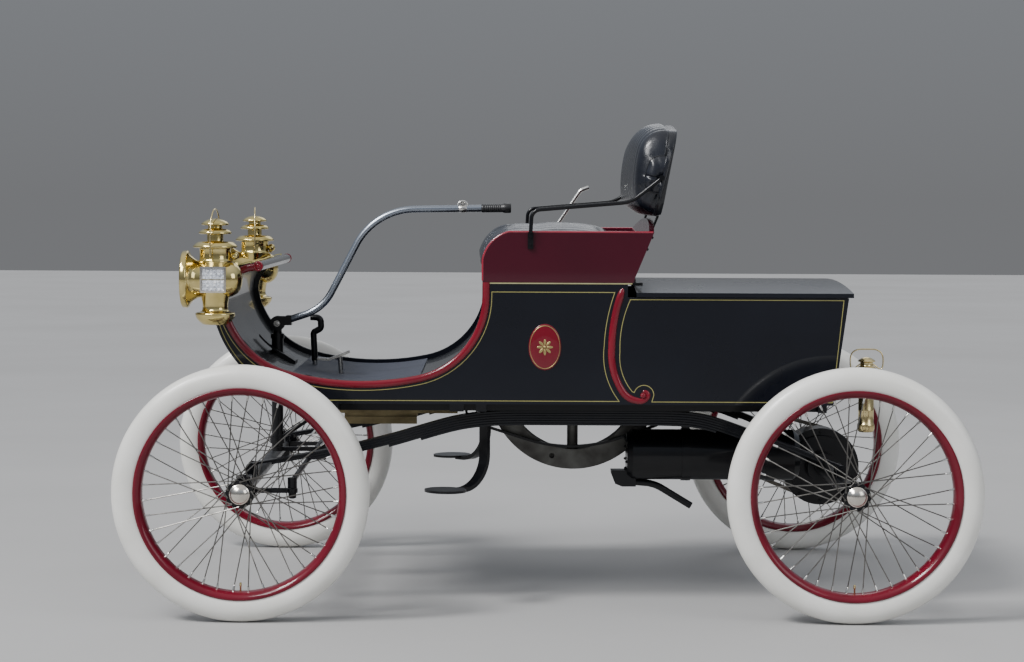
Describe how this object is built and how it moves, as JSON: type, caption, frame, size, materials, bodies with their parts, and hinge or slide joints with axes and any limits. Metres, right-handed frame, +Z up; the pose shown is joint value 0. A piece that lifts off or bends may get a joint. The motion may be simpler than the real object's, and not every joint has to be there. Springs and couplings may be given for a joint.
{
  "type": "brass era curved-dash runabout",
  "caption": "Early open runabout with a curved dash, tiller steering, wire wheels, side springs, brass side lamps, a tufted bench seat and a lifting rear deck.",
  "frame": {"origin": "on the ground under the middle of the car, at mid wheelbase on the centreline", "axes": "+X forward, +Y to the car's left, +Z up"},
  "size_m": [2.3792, 1.485, 1.3951],
  "materials": {
    "tyre": "white vulcanised tyre",
    "wheel_metal": "crimson rim, bright spokes and nickel hub",
    "chassis_black": "black enamel",
    "bright_steel": "polished steel",
    "tiller_steel": "blued steel tube",
    "grip_black": "hard black grip",
    "spring_black": "black leaf springs",
    "iron_dark": "grey machined iron",
    "chain_steel": "oiled steel",
    "body_paint": "gloss blue-black coach paint on wood",
    "seat_paint": "gloss dark crimson coach paint on wood",
    "moulding_red": "gloss crimson",
    "mat_rubber": "ribbed dark blue-grey mat",
    "seat_leather": "black tufted leather",
    "brass": "polished brass",
    "radiator_brass": "dull brass"
  },
  "bodies": {
    "root": {"front_axle": "chassis_black", "steering_column": "chassis_black", "spring_left": "spring_black", "spring_right": "spring_black", "sub_frame": "chassis_black", "rear_axle": "chassis_black", "drive_chain": "chain_steel", "engine_block": "iron_dark", "flywheel": "iron_dark", "transmission": "iron_dark", "muffler": "chassis_black", "radiator": "radiator_brass", "body_side_left": "body_paint", "body_side_right": "body_paint", "curved_dash": "body_paint", "seat_riser": "body_paint", "rear_panel": "body_paint", "dash_mouldings": "moulding_red", "side_mouldings": "moulding_red", "dash_roll": "bright_steel", "floor_mat": "mat_rubber", "seat_box": "seat_paint", "seat_cushion": "seat_leather", "backrest": "seat_leather", "arm_rails": "chassis_black", "lamp_left": "brass", "lamp_right": "brass", "tail_lamp": "brass", "steps": "chassis_black", "control_levers": "chassis_black"},
    "steering": {"steering_post": "chassis_black"},
    "tiller": {"tiller": "tiller_steel", "tiller_grip": "grip_black"},
    "knuckle_left": {"knuckle_left": "chassis_black"},
    "knuckle_right": {"knuckle_right": "chassis_black"},
    "tie_rod": {"tie_rod": "chassis_black"},
    "wheel_front_left": {"wheel_front_left": "wheel_metal", "tyre_front_left": "tyre"},
    "wheel_front_right": {"wheel_front_right": "wheel_metal", "tyre_front_right": "tyre"},
    "wheel_rear_left": {"wheel_rear_left": "wheel_metal", "tyre_rear_left": "tyre"},
    "wheel_rear_right": {"wheel_rear_right": "wheel_metal", "tyre_rear_right": "tyre"},
    "deck_lid": {"deck_lid": "body_paint"}
  },
  "joints": [
    {"name": "steer", "type": "hinge", "parent": "root", "child": "steering", "pos_m": [0.802, 0, 0.7], "axis": [0, 0, 1], "range_deg": [-28, 28]},
    {"name": "tiller_lift", "type": "hinge", "parent": "steering", "child": "tiller", "pos_m": [0.802, 0, 0.779], "axis": [0, 1, 0], "range_deg": [0, 35]},
    {"name": "left_knuckle_turn", "type": "hinge", "parent": "root", "child": "knuckle_left", "pos_m": [0.838, 0.628, 0.3516], "axis": [0, 0, 1], "range_deg": [-28, 28]},
    {"name": "right_knuckle_turn", "type": "hinge", "parent": "root", "child": "knuckle_right", "pos_m": [0.838, -0.628, 0.3516], "axis": [0, 0, 1], "range_deg": [-28, 28]},
    {"name": "tie_rod_turn", "type": "hinge", "parent": "knuckle_left", "child": "tie_rod", "pos_m": [0.703, 0.628, 0.377], "axis": [0, 0, 1], "range_deg": [-28, 28]},
    {"name": "front_left_roll", "type": "hinge", "parent": "knuckle_left", "child": "wheel_front_left", "pos_m": [0.838, 0.6985, 0.3516], "axis": [0, 1, 0], "continuous": true},
    {"name": "front_right_roll", "type": "hinge", "parent": "knuckle_right", "child": "wheel_front_right", "pos_m": [0.838, -0.6985, 0.3516], "axis": [0, 1, 0], "continuous": true},
    {"name": "rear_left_roll", "type": "hinge", "parent": "root", "child": "wheel_rear_left", "pos_m": [-0.838, 0.6985, 0.3516], "axis": [0, 1, 0], "continuous": true},
    {"name": "rear_right_roll", "type": "hinge", "parent": "root", "child": "wheel_rear_right", "pos_m": [-0.838, -0.6985, 0.3516], "axis": [0, 1, 0], "continuous": true},
    {"name": "deck_lid_hinge", "type": "hinge", "parent": "root", "child": "deck_lid", "pos_m": [-0.25, 0, 0.9218], "axis": [0, 1, 0], "range_deg": [0, 60]}
  ],
  "couplings": [
    {"joint": "left_knuckle_turn", "follows": "steer", "ratio": 1},
    {"joint": "right_knuckle_turn", "follows": "steer", "ratio": 1},
    {"joint": "tie_rod_turn", "follows": "steer", "ratio": -1}
  ]
}
